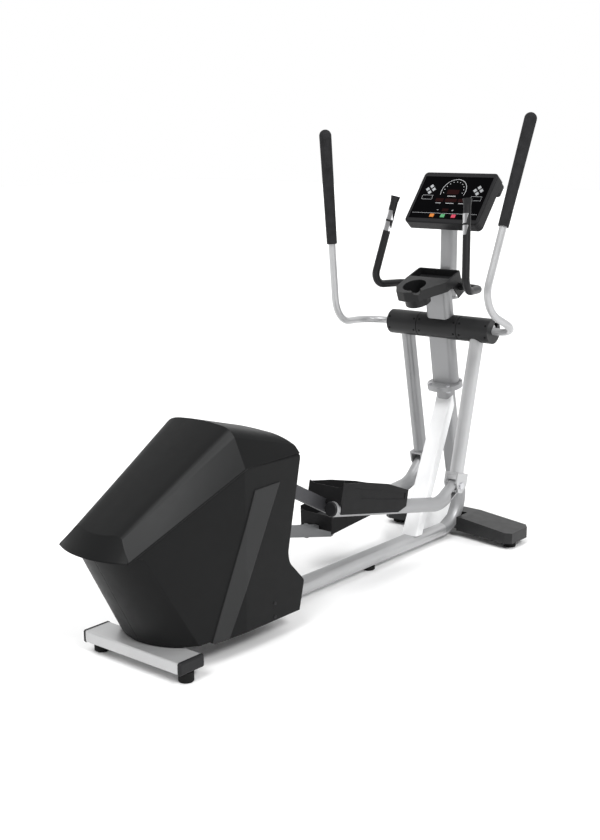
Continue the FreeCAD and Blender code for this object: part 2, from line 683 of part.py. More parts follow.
def drive_belts():
    inset = 1.0
    long_belt = belt(CRANK, CRANK_PULLEY_R, JACKSHAFT, JACK_SMALL_R,
                     (BELT_1_Y[0] + inset, BELT_1_Y[1] - inset))
    short_belt = belt(JACKSHAFT, JACK_LARGE_R, FLYWHEEL, FLYWHEEL_PULLEY_R,
                      (BELT_2_Y[0] + inset, BELT_2_Y[1] - inset))
    return Part.makeCompound([long_belt, short_belt])


def idler_place():
    """Idler centre, against the outside of the long belt's lower run."""
    dx, dz = JACKSHAFT[0] - CRANK[0], JACKSHAFT[1] - CRANK[1]
    wrap = math.degrees(math.acos((CRANK_PULLEY_R - JACK_SMALL_R) / math.hypot(dx, dz)))
    normal = math.degrees(math.atan2(dz, dx)) + wrap
    a = polar(CRANK, CRANK_PULLEY_R, normal)
    b = polar(JACKSHAFT, JACK_SMALL_R, normal)
    middle = ((a[0] + b[0]) / 2, (a[1] + b[1]) / 2)
    return polar(middle, IDLER_R + BELT_THICK + IDLER_SLACK, normal)


def idler_wheel():
    return ring_y(idler_place(), IDLER_R, IDLER_PIN_R + RUN_GAP, BELT_1_Y)


def idler_arm():
    """Tensioner arm beside the idler, with the pin that the idler turns on."""
    x, z = idler_place()
    pin = rod_y((x, z), IDLER_PIN_R, (20, PLATE_Y[0]))
    arm = box((x - 12, x + 12), (BELT_1_Y[1] + 4, BELT_1_Y[1] + 10), (z - 12, z + 70))
    return pin.fuse(arm)


# ---- arm pivot and arms -----------------------------------------------------------------------
def mast_envelope(gap):
    bar = rounded_bar(MAST_DEEP + 2 * gap, MAST_WIDE + 2 * gap, MAST_ROUND + gap, 700.0)
    bar.rotate(V(0, 0, 0), V(0, -1, 0), MAST_LEAN)
    bar.translate(V(FLANGE[0] + MAST_FORWARD, 0, FLANGE[1]))
    return bar


def pivot_axle():
    return rod_y(PIVOT, AXLE_R, (2 - HUB_Y[1], HUB_Y[1] - 2))


def pivot_centre_cover():
    cover = ring_y(PIVOT, COVER_R, COVER_R - COVER_WALL, (-CENTRE_COVER_Y, CENTRE_COVER_Y))
    end = ring_y(PIVOT, COVER_R, AXLE_R + 2, (-CENTRE_COVER_Y, -CENTRE_COVER_Y + 3))
    behind = box((PIVOT[0] - 20, 2000), (-100, 100), (800, 1100))
    ends_space = box((1600, 2000), (-MAST_WIDE / 2 - PART_GAP, MAST_WIDE / 2 + PART_GAP), (800, 1100))
    cover = cover.fuse([end, mirrored(end)])
    return cover.cut(mast_envelope(PART_GAP).common(behind).common(ends_space))


def arm_tube():
    """Hub, oval tube and clevis of the right arm, welded, clevis pin straight below the pivot."""
    top = PIVOT[1]
    tube = rounded_tube(ARM_TUBE_DEEP, ARM_TUBE_WIDE, 22.0, SADDLE_DROP)
    tube.translate(V(PIVOT[0], -ARM_Y, top - SADDLE_DROP))
    tube = tube.cut(rod_y(PIVOT, HUB_R, (-300, 0)))
    above = box((PIVOT[0] - 60, PIVOT[0] + 60), (-260, -60), (top, top + 60))
    tube = sorted(tube.cut(above).Solids, key=lambda s: s.Volume)[-1]
    hub = ring_y(PIVOT, HUB_R, BUSH_R, (-HUB_Y[1], -HUB_Y[0]))
    cap = rod_y(PIVOT, HUB_R, (-HUB_Y[1] - HUB_CAP, -HUB_Y[1]))
    pin = (PIVOT[0], top - ARM_R)
    y_out = -ARM_Y - CLEVIS_EAR_Y[1]
    y_in = -ARM_Y + CLEVIS_EAR_Y[1]
    saddle = box((pin[0] - 37, pin[0] + 39), (y_out, y_in), (pin[1] + 42, pin[1] + 50))
    ear = [(-37, 44), (39, 44), (39, 4), (14, -30), (-14, -30), (-37, 8)]
    parts = [hub, cap, saddle]
    for y in ((y_out, y_out + 7), (y_in - 7, y_in)):
        parts.append(plate_y([(pin[0] + x, pin[1] + z) for x, z in ear], y))
    return tube.fuse(parts).cut(rod_y(pin, CLEVIS_PIN_R, (-300, 0)))


def arm_bushes():
    near = ring_y(PIVOT, BUSH_R, AXLE_R + RUN_GAP, (-HUB_Y[0] - 30, -HUB_Y[0]))
    far = ring_y(PIVOT, BUSH_R, AXLE_R + RUN_GAP, (-HUB_Y[1], -HUB_Y[1] + 30))
    return Part.makeCompound([near, far])


def clevis_pin():
    pin = (PIVOT[0], PIVOT[1] - ARM_R)
    y_out = -ARM_Y - CLEVIS_EAR_Y[1]
    y_in = -ARM_Y + CLEVIS_EAR_Y[1]
    shank = rod_y(pin, CLEVIS_PIN_R, (y_out, y_in))
    head = rod_y(pin, 14, (y_out - 5, y_out))
    nut = rod_y(pin, 13, (y_in, y_in + 7))
    return shank.fuse([head, nut])


def handle_points():
    corner = V(PIVOT[0], -HANDLE_CORNER_Y, PIVOT[1])
    elbow = V(PIVOT[0] + HANDLE_ELBOW[0], -HANDLE_ELBOW[1], PIVOT[1] + HANDLE_ELBOW[2])
    top = V(PIVOT[0] + HANDLE_TOP[0], -HANDLE_TOP[1], PIVOT[1] + HANDLE_TOP[2])
    return corner, elbow, top


def handlebar():
    corner, elbow, top = handle_points()
    start = V(PIVOT[0], -HUB_Y[1] - HUB_CAP, PIVOT[1])
    lift = (top - elbow).normalize() * -12
    return round_tube([start, corner, elbow, top + lift], [100.0, 115.0], HANDLE_R, 2.5)


def grip():
    corner, elbow, top = handle_points()
    axis = (elbow - top).normalize()
    end = V(top) + axis * GRIP_LENGTH
    body = Part.makeCone(GRIP_R[1], GRIP_R[0], GRIP_LENGTH, top, axis)
    body = body.fuse(Part.makeSphere(GRIP_R[1], top))
    hollow = Part.makeCylinder(HANDLE_R, GRIP_LENGTH, top + axis * 12, axis)
    return body.cut(hollow)


def arm_cover():
    """Turning cover of one arm, slotted for the arm below and the handlebar at its end."""
    outer = (-ARM_COVER_Y[1], -ARM_COVER_Y[0])
    cover = ring_y(PIVOT, COVER_R, COVER_R - COVER_WALL, outer)
    inner_end = ring_y(PIVOT, COVER_R, HUB_R, (outer[1] - 3, outer[1]))
    outer_end = ring_y(PIVOT, COVER_R, HANDLE_R + PART_GAP, (outer[0], outer[0] + 3))
    cover = cover.fuse([inner_end, outer_end])
    slot = rounded_bar(ARM_TUBE_DEEP + 1, ARM_TUBE_WIDE + 1, 22.0, 200.0)
    slot.translate(V(PIVOT[0], -ARM_Y, PIVOT[1] - 200))
    notch = box((PIVOT[0], PIVOT[0] + 60), (outer[0] - 1, outer[0] + 22), (PIVOT[1] - 8, PIVOT[1] + 16))
    return cover.cut(slot).cut(turned(notch, PIVOT, 60))


# ---- foot links and pedals --------------------------------------------------------------------
def link_tube():
    """Bent round tube of the right foot link, in the link's own frame at the origin."""
    start = V(LINK_TUBE_START[0], -ARM_Y, LINK_TUBE_START[1])
    elbow = V(LINK_TUBE_ELBOW[0], -ARM_Y, LINK_TUBE_ELBOW[1])
    pin = V(LINK_LENGTH, -ARM_Y, 0)
    end = pin + (elbow - pin).normalize() * 18
    tube = round_tube([start, elbow, end], [LINK_TUBE_BEND_R], LINK_TUBE_R, WALL)
    half = CLEVIS_EAR_Y[0] - PART_GAP
    ends = box((LINK_LENGTH - 60, LINK_LENGTH + 60), (-ARM_Y - 60, -ARM_Y - half), (-60, 60))
    ends = ends.fuse(box((LINK_LENGTH - 60, LINK_LENGTH + 60), (-ARM_Y + half, -ARM_Y + 60), (-60, 60)))
    eye = (LINK_LENGTH, 0)
    y = (-ARM_Y - half, -ARM_Y + half)
    tube = tube.cut(ends).cut(rod_y(eye, 20, (-300, 0)))
    tube = sorted(tube.Solids, key=lambda s: s.Volume)[-1]
    return tube.fuse(ring_y(eye, 20.5, CLEVIS_PIN_R + RUN_GAP, y))


def link_bar():
    """Flat bar from the crank pin's lug, kinked, to the side of the tube, with a spacer block."""
    half = BAR_TALL / 2
    y = (-BAR_Y - BAR_THICK / 2, -BAR_Y + BAR_THICK / 2)
    near = plate_y([(0, -LUG_R), (BAR_KINK[0], BAR_KINK[1] - half), (BAR_KINK[0], BAR_KINK[1] + half),
                    (0, LUG_R)], y)
    run = math.hypot(BAR_END[0] - BAR_KINK[0], BAR_END[1] - BAR_KINK[1])
    far = box((BAR_KINK[0], BAR_KINK[0] + run), y, (BAR_KINK[1] - half, BAR_KINK[1] + half))
    slope = math.degrees(math.atan2(BAR_END[1] - BAR_KINK[1], BAR_END[0] - BAR_KINK[0]))
    far = turned(far, BAR_KINK, slope)
    spacer = box((690, 750), (-ARM_Y + LINK_TUBE_R - 8, -BAR_Y - BAR_THICK / 2), (-112, -88))
    bar = rod_y((0, 0), LUG_R, y).fuse([near, far, rod_y(BAR_KINK, half, y), rod_y(BAR_END, half, y), spacer])
    return bar.cut(rod_y((0, 0), CRANK_PIN_R + RUN_GAP, y)).cut(straight_tube(LINK_TUBE_R))


def straight_tube(radius):
    """Solid along the straight run of the foot link's tube."""
    start = V(LINK_TUBE_START[0], -ARM_Y, LINK_TUBE_START[1])
    run = V(LINK_TUBE_ELBOW[0] - LINK_TUBE_START[0], 0, LINK_TUBE_ELBOW[1] - LINK_TUBE_START[1])
    return Part.makeCylinder(radius, run.Length, start, run)


def link_plug():
    """Domed plug in the rear end of the tube."""
    rod = V(LINK_TUBE_ELBOW[0] - LINK_TUBE_START[0], 0, LINK_TUBE_ELBOW[1] - LINK_TUBE_START[1]).normalize()
    start = V(LINK_TUBE_START[0], -ARM_Y, LINK_TUBE_START[1])
    plug = Part.makeCylinder(LINK_TUBE_R - WALL, 20, start, rod)
    return plug.fuse(Part.makeCone(LINK_TUBE_R - 4, LINK_TUBE_R, 6, start - rod * 6, rod))


def pedal():
    """Moulded footplate with raised walls, a channel for the tube below and open for the foot above."""
    x0, x1 = PEDAL_X
    outer_side = [(x0 + 10, -117), (x0, -4), (823, 3), (960, 0), (x1, -21), (x1, -84), (1050, -107)]
    inner_side = [(x0, -95), (x0, -18), (810, -12), (960, -14), (x1, -23), (x1, -80), (932, -84)]
    outer = plate_y(outer_side, (-PEDAL_Y[1], -PEDAL_Y[1] + PEDAL_WALL))
    inner = plate_y(inner_side, (-PEDAL_Y[0] - PEDAL_WALL, -PEDAL_Y[0]))
    span = (-PEDAL_Y[1], -PEDAL_Y[0])
    floor = plate_y(pedal_layer(0, PEDAL_WALL, 0), span)
    front = box((x1 - PEDAL_WALL, x1), span, (-84, -30))
    recess = plate_y([(745, -18), (1080, -32), (1080, -60), (800, -56)], (-PEDAL_Y[1] - 1, -PEDAL_Y[1] + 1.8))
    body = outer.cut(recess).fuse([inner, floor, front, pedal_rear()]).cut(straight_tube(LINK_TUBE_R))
    bar_space = box((600, 800), (-BAR_Y - 11, -BAR_Y + 11), (-160, PEDAL_FLOOR_Z - 0.5))
    return max(body.cut(bar_space).Solids, key=lambda solid: solid.Volume)


def pedal_rear():
    """Rear wall between the two side walls, dipped in the middle for the heel."""
    x0 = PEDAL_X[0]
    low, rim, dip = -84, -14, -22
    y_out, y_in = -PEDAL_Y[1], -PEDAL_Y[0]
    points = [V(x0, y_out, low), V(x0, y_out, rim), V(x0, y_out + 22, dip), V(x0, y_in - 22, dip),
              V(x0, y_in, rim), V(x0, y_in, low)]
    return Part.Face(Part.makePolygon(points + points[:1])).extrude(V(PEDAL_WALL, 0, 0))


def pedal_layer(low, high, margin):
    """Side-view outline of a layer on the pedal's sloping floor."""
    ends = [(x, PEDAL_FLOOR_Z + PEDAL_FLOOR_RISE * (x - PEDAL_X[0]) / (PEDAL_X[1] - PEDAL_X[0]))
            for x in (PEDAL_X[0] + margin, PEDAL_X[1] - margin)]
    return [(x, z + low) for x, z in ends] + [(x, z + high) for x, z in reversed(ends)]


def pedal_tread():
    return plate_y(pedal_layer(PEDAL_WALL, PEDAL_WALL + 5, 14), (-PEDAL_Y[1] + 12, -PEDAL_Y[0] - 12))


def place_link(shape, pin, turn):
    copy = shape.copy()
    copy.translate(V(pin[0], 0, pin[1]))
    return turned(copy, pin, turn)


def moving_side(name, side, crank_angle):
    """Every piece of one arm and one foot link, at its place in the rest pose."""
    pin, _, arm_turn, link_turn = side_pose(crank_angle)
    arm_pieces = {"arm_tube": arm_tube(), "arm_bushes": arm_bushes(), "arm_cover": arm_cover(),
                  "clevis_pin": clevis_pin(), "handlebar": handlebar(), "grip": grip()}
    link_pieces = {"link_tube": link_tube(), "link_bar": link_bar(), "link_plug": link_plug(),
                   "pedal": pedal(), "pedal_tread": pedal_tread()}
    for key, shape in arm_pieces.items():
        placed = turned(shape, PIVOT, arm_turn)
        save(key + "_" + name, placed if side < 0 else mirrored(placed))
    for key, shape in link_pieces.items():
        placed = place_link(shape, pin, link_turn)
        save(key + "_" + name, placed if side < 0 else mirrored(placed))


# ---- tray, pulse bars, console ----------------------------------------------------------------
def tray_place(shape):
    return turned(shape, TRAY_FRONT, TRAY_TILT)


def rounded_plate(points, z, radius):
    """Polygon of the plan view with rounded corners, given thickness along Z."""
    plate = plate_z(points, z)
    return plate.makeFillet(radius, [e for e in plate.Edges if abs(e.tangentAt(e.FirstParameter).z) > 0.9])


def accessory_tray():
    """Moulded tray: bottle cup near the user, shallow recess in front of it, saddle over the mast."""
    front, top = TRAY_FRONT
    outline = [(0, 100), (0, -100), (-108, -97), (-173, -42), (-205, -20), (-218, 38), (-212, 76),
               (-173, 101), (-86, 104)]
    slab = rounded_plate([(front + x, y) for x, y in outline], (top - 42, top), 9)
    well = [(-5, 94), (-5, -94), (-76, -92), (-76, 97)]
    slab = slab.cut(rounded_plate([(front + x, y) for x, y in well], (top - 30, top + 5), 6))
    hollow = [(-4, 95), (-4, -95), (-92, -92), (-92, 96)]
    slab = slab.cut(plate_z([(front + x, y) for x, y in hollow], (top - 60, top - 34)))
    cup = rod_z(front + CUP[0], CUP[1], CUP_R + 4, (top - CUP_DEEP - 4, top))
    bore = rod_z(front + CUP[0], CUP[1], CUP_R, (top - CUP_DEEP, top + 20))
    dip_r, turn = CUP_DIP
    way = V(math.cos(math.radians(turn)), math.sin(math.radians(turn)), 0)
    dip = Part.makeCylinder(dip_r, 2 * CUP_R, V(front + CUP[0], CUP[1], top + dip_r / 3), way)
    body = tray_place(slab.fuse(cup).cut([bore, dip]))
    skirt = [(1655, 1122), (1790, 1118), (1790, 1066), (1748, 1042), (1712, 1078)]
    cheeks = [plate_y(skirt, sorted([side * 61, side * 66])) for side in (-1, 1)]
    floor_space = box((1600, 1760), (-61, 61), (900, MAST_TOP_Z + MAST_CAP + 0.5))
    body = body.fuse(cheeks).cut(mast_envelope(0.5).common(floor_space))
    body = body.cut(box((1640, 1735), (-36, 36), (MAST_TOP_Z - 1, MAST_TOP_Z + MAST_CAP + 0.5)))
    body = body.cut(box((1730, 1800), (-31, 31), (1000, 1400)))
    body = body.cut(both_sides(sweep_round(smooth_path(pulse_path(), PULSE_BENDS), PULSE_R + PART_GAP)))
    return max(body.Solids, key=lambda solid: solid.Volume)


def pulse_path():
    top = V(1625, -172, 1445)
    low = V(1546, -224, 1094)
    front = V(1706, -190, 1090)
    mast = V(UPPER_MAST_X, -24, 1088)
    return [top, low, front, mast]


def pulse_bars():
    points = pulse_path()
    tube = round_tube(points, PULSE_BENDS, PULSE_R, 2.5)
    axis = (points[0] - points[1]).normalize()
    flare = Part.makeCone(PULSE_R, PULSE_R + 4, 24, points[0] - axis * 20, axis)
    mast = box((1700, 1830), (-29.05, 29.05), (1000, 1200))
    return both_sides(tube.fuse(flare).cut(mast))


def pulse_plates():
    """Curved steel contacts on the user's side of each bar, the upper over the lower."""
    points = pulse_path()
    axis = (points[1] - points[0]).normalize()
    plates = []
    for start in (55.0, 101.0):
        base = points[0] + axis * start
        bar = Part.makeCylinder(PULSE_R, 38, base, axis)
        ring = Part.makeCylinder(PULSE_R + 1.4, 38, base, axis).cut(bar)
        rear_half = box((base.x - 60, base.x - 3), (base.y - PLATE_HALF, base.y + PLATE_HALF),
                        (base.z - 70, base.z + 30))
        plates.append(ring.common(rear_half))
    return both_sides(Part.makeCompound(plates))


def console_place(shape):
    """From the console's own frame to the machine's."""
    tilt = math.radians(CONSOLE_TILT)
    right, up = V(0, -1, 0), V(math.sin(tilt), 0, math.cos(tilt))
    out = V(-math.cos(tilt), 0, math.sin(tilt))
    matrix = FreeCAD.Matrix(right.x, up.x, out.x, CONSOLE_FOOT[0], right.y, up.y, out.y, 0,
                            right.z, up.z, out.z, CONSOLE_FOOT[1], 0, 0, 0, 1)
    copy = shape.copy()
    copy.transformShape(matrix, True)
    return copy


def console_slab(inset, z):
    wide, tall, _ = CONSOLE_SIZE
    slab = box((-wide / 2 + inset, wide / 2 - inset), (inset, tall - inset), z)
    edges = [e for e in slab.Edges if abs(e.tangentAt(e.FirstParameter).z) > 0.9]
    return slab.makeFillet(max(18.0 - inset, 2.0), edges)


def console_bezel():
    frame = console_slab(0, (-22, 0))
    window = box((-PANEL_SIZE[0] / 2, PANEL_SIZE[0] / 2), (PANEL_LOW, PANEL_LOW + PANEL_SIZE[1]), (-30, 5))
    front_edges = [e for e in frame.Edges if e.BoundBox.ZMin > -0.1]
    return console_place(frame.makeFillet(5.0, front_edges).cut(window))


def console_back():
    half, tall, deep = HUMP
    top = CONSOLE_SIZE[1] - 3
    hump = box((-half, half), (top - tall, top), (-CONSOLE_SIZE[2] - deep, -CONSOLE_SIZE[2]))
    hump = hump.makeFillet(14.0, [e for e in hump.Edges if e.CenterOfMass.z < -CONSOLE_SIZE[2] - 1])
    shell = console_slab(0, (-CONSOLE_SIZE[2], -22)).cut(console_slab(3, (-CONSOLE_SIZE[2] + 3, -22)))
    return console_place(shell.fuse(hump))


def key_places():
    names = ("program_key", "start_key", "stop_key")
    return [(KEY_MIDDLE_X + KEY_PITCH * (i - 1), name) for i, name in enumerate(names)]


def console_panel():
    half = PANEL_SIZE[0] / 2
    panel = box((-half, half), (PANEL_LOW, PANEL_LOW + PANEL_SIZE[1]), (-PANEL_THICK - 2, -2))
    for x, _ in key_places():
        hole = box((x - KEY_SIZE[0] / 2 - 0.5, x + KEY_SIZE[0] / 2 + 0.5),
                   (KEY_ROW_Y - KEY_SIZE[1] / 2 - 0.5, KEY_ROW_Y + KEY_SIZE[1] / 2 + 0.5), (-10, 5))
        panel = panel.cut(hole)
    return console_place(panel)


def console_key(x):
    body = box((x - KEY_SIZE[0] / 2, x + KEY_SIZE[0] / 2),
               (KEY_ROW_Y - KEY_SIZE[1] / 2, KEY_ROW_Y + KEY_SIZE[1] / 2), (-8, -2 + KEY_RISE))
    return console_place(body)


def circuit_board():
    tall = CONSOLE_SIZE[1]
    board = box((-140, 140), (34, tall - 30), (-16, -14.4))
    posts = [Part.makeCylinder(4, CONSOLE_SIZE[2] - 3 - 16, V(x, y, -CONSOLE_SIZE[2] + 3))
             for x in (-120, 120) for y in (45, tall - 45)]
    return console_place(Part.makeCompound([board] + posts))


# ---- write every node -------------------------------------------------------------------------
def main():
    os.makedirs("parts", exist_ok=True)
    lid, right, left = housing_nodes()
    nodes = {
        "main_rail": main_rail(), "front_upright": front_upright(), "frame_brace": frame_brace(),
        "lower_mast": lower_mast(), "upper_mast": upper_mast(), "mast_bolts": mast_bolts(),
        "rear_stabiliser": rear_stabiliser(), "stabiliser_end_caps": stabiliser_end_caps(),
        "levelling_feet": levelling_feet(), "front_cross_tube": front_cross_tube(),
        "front_stabiliser_cover": front_stabiliser_cover(),
        "housing_lid": lid, "housing_right": right, "housing_left": left,
        "housing_screws": housing_screws(), "drive_frame": drive_frame(),
        "crank_bearings": crank_bearings(), "crank_axle": crank_axle(), "crank_arms": crank_arms(),
        "crank_pulley": crank_pulley(), "jackshaft": jackshaft(), "flywheel": flywheel(),
        "magnet_brake": magnet_brake(), "drive_belts": drive_belts(),
        "idler_wheel": idler_wheel(), "idler_arm": idler_arm(),
        "pivot_axle": pivot_axle(), "pivot_centre_cover": pivot_centre_cover(),
        "accessory_tray": accessory_tray(), "pulse_bars": pulse_bars(), "pulse_plates": pulse_plates(),
        "console_bezel": console_bezel(), "console_back": console_back(),
        "console_panel": console_panel(), "circuit_board": circuit_board(),
    }
    for x, name in key_places():
        nodes[name] = console_key(x)
    for name, shape in nodes.items():
        save(name, shape)
    moving_side("right", -1, CRANK_ANGLE)
    moving_side("left", 1, CRANK_ANGLE + 180)


main()
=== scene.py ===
import bpy
import json
import math
from mathutils import Matrix, Vector


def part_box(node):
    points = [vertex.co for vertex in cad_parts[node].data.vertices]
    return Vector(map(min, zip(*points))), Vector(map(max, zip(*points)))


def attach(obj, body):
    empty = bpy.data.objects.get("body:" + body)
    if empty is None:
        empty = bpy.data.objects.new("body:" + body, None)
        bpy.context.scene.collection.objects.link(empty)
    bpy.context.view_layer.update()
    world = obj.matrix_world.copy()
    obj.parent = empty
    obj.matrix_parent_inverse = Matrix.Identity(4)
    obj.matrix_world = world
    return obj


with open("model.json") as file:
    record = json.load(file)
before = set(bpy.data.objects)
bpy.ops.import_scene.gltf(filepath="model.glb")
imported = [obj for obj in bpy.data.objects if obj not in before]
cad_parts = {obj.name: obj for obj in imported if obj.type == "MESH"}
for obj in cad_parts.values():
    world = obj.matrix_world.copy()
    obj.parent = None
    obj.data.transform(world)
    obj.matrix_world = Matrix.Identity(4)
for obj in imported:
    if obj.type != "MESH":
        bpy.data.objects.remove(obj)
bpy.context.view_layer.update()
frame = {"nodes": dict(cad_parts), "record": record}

# ---- camera, in metres and degrees ------------------------------------------------------------
CAMERA_PLACE = Vector((-3.5901, -2.9478, 1.7117))
CAMERA_YAW = 39.834         # from +X towards +Y
CAMERA_PITCH = 12.596       # down
CAMERA_ROLL = -0.177
CAMERA_LENS = 55.57         # mm, on a 36 mm sensor
BACKDROP = Vector((0.72, 0.60, 0.35)).normalized()

# ---- console, as tilted in the CAD -----------------------------------------------------------
CONSOLE_TILT = math.radians(38.4)
MM = 0.001

# ---- edges of the raised stripe on the side covers, where its painted highlight goes, (x, z) at its foot and its top ---
REAR_X = (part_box("rear_stabiliser")[0][0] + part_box("rear_stabiliser")[1][0]) / 2
STRIPE_REAR = ((REAR_X + 131 * MM, 76 * MM), (REAR_X + 333 * MM, 558 * MM))
STRIPE_FRONT = ((REAR_X + 207 * MM, 76 * MM), (REAR_X + 458 * MM, 561 * MM))


# ---- node graphs ------------------------------------------------------------------------------
MIX_LOW, MIX_HIGH, MIX_RESULT = 6, 7, 2     # colour sockets of a Mix node, which have no own names
BEVEL_SAMPLES = 4


class Graph:
    """A material's node tree, with short calls for the few nodes that the finishes share."""

    def __init__(self, name):
        self.material = bpy.data.materials.new(name)
        self.material.use_nodes = True
        self.tree = self.material.node_tree
        self.shader = self.tree.nodes["Principled BSDF"]
        self.coords = self.tree.nodes.new("ShaderNodeTexCoord").outputs["Object"]

    def link(self, output, target):
        self.tree.links.new(output, target)

    def value(self, socket, number):
        self.shader.inputs[socket].default_value = number

    def stretched(self, scale):
        node = self.tree.nodes.new("ShaderNodeMapping")
        node.inputs["Scale"].default_value = scale
        self.link(self.coords, node.inputs["Vector"])
        return node.outputs["Vector"]

    def noise(self, scale, detail=4.0, vector=None):
        node = self.tree.nodes.new("ShaderNodeTexNoise")
        node.inputs["Scale"].default_value = scale
        node.inputs["Detail"].default_value = detail
        self.link(vector or self.coords, node.inputs["Vector"])
        return node.outputs["Fac"]

    def cells(self, scale):
        node = self.tree.nodes.new("ShaderNodeTexVoronoi")
        node.inputs["Scale"].default_value = scale
        self.link(self.coords, node.inputs["Vector"])
        return node.outputs["Distance"]

    def waves(self, scale, direction):
        node = self.tree.nodes.new("ShaderNodeTexWave")
        node.bands_direction = direction
        node.inputs["Scale"].default_value = scale
        self.link(self.coords, node.inputs["Vector"])
        return node.outputs["Fac"]

    def between(self, factor, low, high, start=0.3, end=0.7):
        """Numbers from low to high as the factor goes from start to end."""
        node = self.tree.nodes.new("ShaderNodeMapRange")
        node.inputs["From Min"].default_value = start
        node.inputs["From Max"].default_value = end
        node.inputs["To Min"].default_value = low
        node.inputs["To Max"].default_value = high
        self.link(factor, node.inputs["Value"])
        return node.outputs["Result"]

    def colours(self, factor, low, high, start=0.3, end=0.7):
        """Colours from low to high as the factor goes from start to end."""
        node = self.tree.nodes.new("ShaderNodeValToRGB")
        ramp = node.color_ramp
        ramp.elements[0].position, ramp.elements[1].position = start, end
        ramp.elements[0].color, ramp.elements[1].color = (*low, 1), (*high, 1)
        self.link(factor, node.inputs["Fac"])
        return node.outputs["Color"]

    def beyond(self, foot, top, blend=0.0006):
        """1 in front of a line through two (x, z) places, 0 behind it."""
        run, rise = top[0] - foot[0], top[1] - foot[1]
        reach = math.hypot(run, rise)
        across = Vector((rise / reach, 0, -run / reach))
        node = self.tree.nodes.new("ShaderNodeVectorMath")
        node.operation = "DOT_PRODUCT"
        node.inputs[1].default_value = across
        self.link(self.coords, node.inputs[0])
        edge = across.dot(Vector((foot[0], 0, foot[1])))
        return self.between(node.outputs["Value"], 0.0, 1.0, edge - blend, edge + blend)

    def facing(self):
        """X, Y and Z of the surface's own normal."""
        geometry = self.tree.nodes.new("ShaderNodeNewGeometry")
        node = self.tree.nodes.new("ShaderNodeSeparateXYZ")
        self.link(geometry.outputs["Normal"], node.inputs["Vector"])
        return node.outputs

    def product(self, first, second):
        node = self.tree.nodes.new("ShaderNodeMath")
        node.operation = "MULTIPLY"
        self.link(first, node.inputs[0])
        self.link(second, node.inputs[1])
        return node.outputs["Value"]

    def mixed(self, factor, low, high):
        """One colour socket or the other, by the factor."""
        node = self.tree.nodes.new("ShaderNodeMix")
        node.data_type = "RGBA"
        self.link(factor, node.inputs["Factor"])
        self.link(low, node.inputs[MIX_LOW])
        self.link(high, node.inputs[MIX_HIGH])
        return node.outputs[MIX_RESULT]

    def soft_edges(self, radius):
        """Normals eased over the sharp edges, as on a moulded or painted piece."""
        node = self.tree.nodes.new("ShaderNodeBevel")
        node.samples = BEVEL_SAMPLES
        node.inputs["Radius"].default_value = radius
        return node.outputs["Normal"]

    def bump(self, height, strength, distance, after=None):
        node = self.tree.nodes.new("ShaderNodeBump")
        node.inputs["Strength"].default_value = strength
        node.inputs["Distance"].default_value = distance
        self.link(height, node.inputs["Height"])
        if after is not None:
            self.link(after, node.inputs["Normal"])
        return node.outputs["Normal"]

    def finish(self, colour, roughness, normal):
        self.link(colour, self.shader.inputs["Base Color"])
        self.link(roughness, self.shader.inputs["Roughness"])
        self.link(normal, self.shader.inputs["Normal"])
        return self.material


def shade(colour, factor):
    return tuple(min(channel * factor, 1.0) for channel in colour)


# ---- finishes: texture scales in repeats per metre, bump distances and edges in metres ---------
GRAIN_HEIGHT = 0.0003
PLASTIC_EDGE = 0.002
HOUSING_EDGE = 0.006


def powder_coat(name, colour, roughness=0.42, metallic=0.45):
    """Satin metal paint: faint orange peel, fine flake, and cloudy wear in the gloss."""
    g = Graph(name)
    g.value("Metallic", metallic)
    clouds = g.noise(scale=6.0)
    flake = g.cells(scale=2600.0)
    peel = g.bump(g.noise(scale=420.0, detail=2.0), strength=0.10, distance=0.0004)
    normal = g.bump(flake, strength=0.05, distance=0.0002, after=peel)
    return g.finish(g.colours(clouds, shade(colour, 0.94), shade(colour, 1.04)),
                    g.between(clouds, roughness - 0.06, roughness + 0.08), normal)


def moulded(name, colour, roughness=0.52, grain=1500.0, depth=0.10, specular=0.11):
    """Moulded plastic: spark-eroded grain, slight flow mottling and rubbed patches."""
    g = Graph(name)
    g.value("Specular IOR Level", specular)
    clouds = g.noise(scale=4.0)
    rubbed = g.noise(scale=28.0, detail=6.0)
    grains = g.bump(g.cells(grain), depth, GRAIN_HEIGHT, g.soft_edges(PLASTIC_EDGE))
    flow = g.noise(scale=9.0, detail=2.0)
    normal = g.bump(flow, strength=0.015, distance=0.002, after=grains)
    return g.finish(g.colours(clouds, shade(colour, 0.93), shade(colour, 1.07)),
                    g.between(rubbed, roughness - 0.03, roughness + 0.03), normal)


def moulded_with_painted_highlight(name, colour, highlight_colour, highlight_mask, roughness=0.44):
    """The housing's moulded plastic, with a paler painted highlight where the mask is 1."""
    g = Graph(name)
    g.value("Specular IOR Level", 0.11)
    clouds = g.noise(scale=4.0)
    plain = g.colours(clouds, shade(colour, 0.93), shade(colour, 1.07))
    # paler copy of the black: painted highlight where light falls on the moulding
    painted_highlight = g.colours(clouds, shade(highlight_colour, 0.95), shade(highlight_colour, 1.05))
    rubbed = g.noise(scale=28.0, detail=6.0)
    rough = g.between(rubbed, roughness - 0.03, roughness + 0.03)
    edges = g.soft_edges(HOUSING_EDGE)
    grains = g.bump(g.cells(scale=1500.0), strength=0.10, distance=GRAIN_HEIGHT, after=edges)
    return g.finish(g.mixed(highlight_mask(g), plain, painted_highlight), rough, grains)


def stripe_highlight_mask(g):
    """The raised stripe on a side cover, which gets the painted highlight."""
    behind_front = g.beyond(STRIPE_FRONT[1], STRIPE_FRONT[0])
    sides = g.product(g.beyond(*STRIPE_REAR), behind_front)
    return g.product(sides, g.beyond(STRIPE_REAR[1], STRIPE_FRONT[1]))


